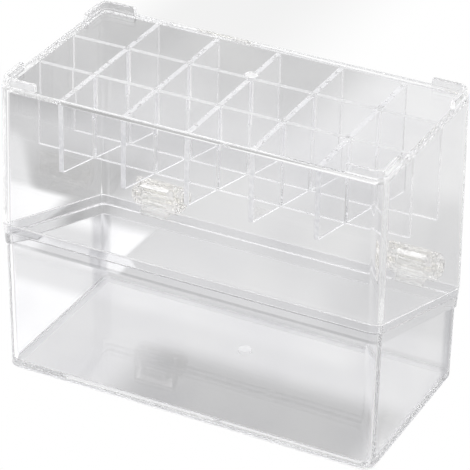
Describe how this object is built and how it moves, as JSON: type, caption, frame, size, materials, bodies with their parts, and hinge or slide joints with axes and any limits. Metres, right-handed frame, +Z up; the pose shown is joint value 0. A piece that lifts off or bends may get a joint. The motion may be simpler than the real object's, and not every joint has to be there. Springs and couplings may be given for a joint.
{
  "type": "lipstick organizer",
  "caption": "Clear plastic lipstick box standing on its deep lid: a cell case with slotted dividers and corner feet, a slanted joint and barrel hinges at the back.",
  "frame": {"origin": "middle of the lid's flat standing face", "axes": "+X along the width to the right, +Y from the front to the hinges, +Z up as pictured"},
  "size_m": [0.1516, 0.0881, 0.1202],
  "materials": {
    "clear_case": "gloss",
    "clear_lid": "gloss",
    "clear_divider": "gloss",
    "clear_hinge": "gloss"
  },
  "bodies": {
    "lid": {"lid": "clear_lid", "left_hinge_lid_leaf": "clear_hinge", "right_hinge_lid_leaf": "clear_hinge"},
    "case": {"cell_case": "clear_case", "cross_divider_1": "clear_divider", "cross_divider_2": "clear_divider", "cross_divider_3": "clear_divider", "cross_divider_4": "clear_divider", "cross_divider_5": "clear_divider", "long_divider_front": "clear_divider", "long_divider_rear": "clear_divider", "front_left_foot": "clear_case", "front_right_foot": "clear_case", "rear_left_foot": "clear_case", "rear_right_foot": "clear_case", "left_hinge_case_leaf": "clear_hinge", "right_hinge_case_leaf": "clear_hinge", "left_hinge_pin": "clear_hinge", "right_hinge_pin": "clear_hinge"}
  },
  "joints": [
    {"name": "case_hinge", "type": "hinge", "parent": "lid", "child": "case", "pos_m": [0, 0.04416, 0.03957], "axis": [-1, 0, 0], "range_deg": [0, 110]}
  ]
}
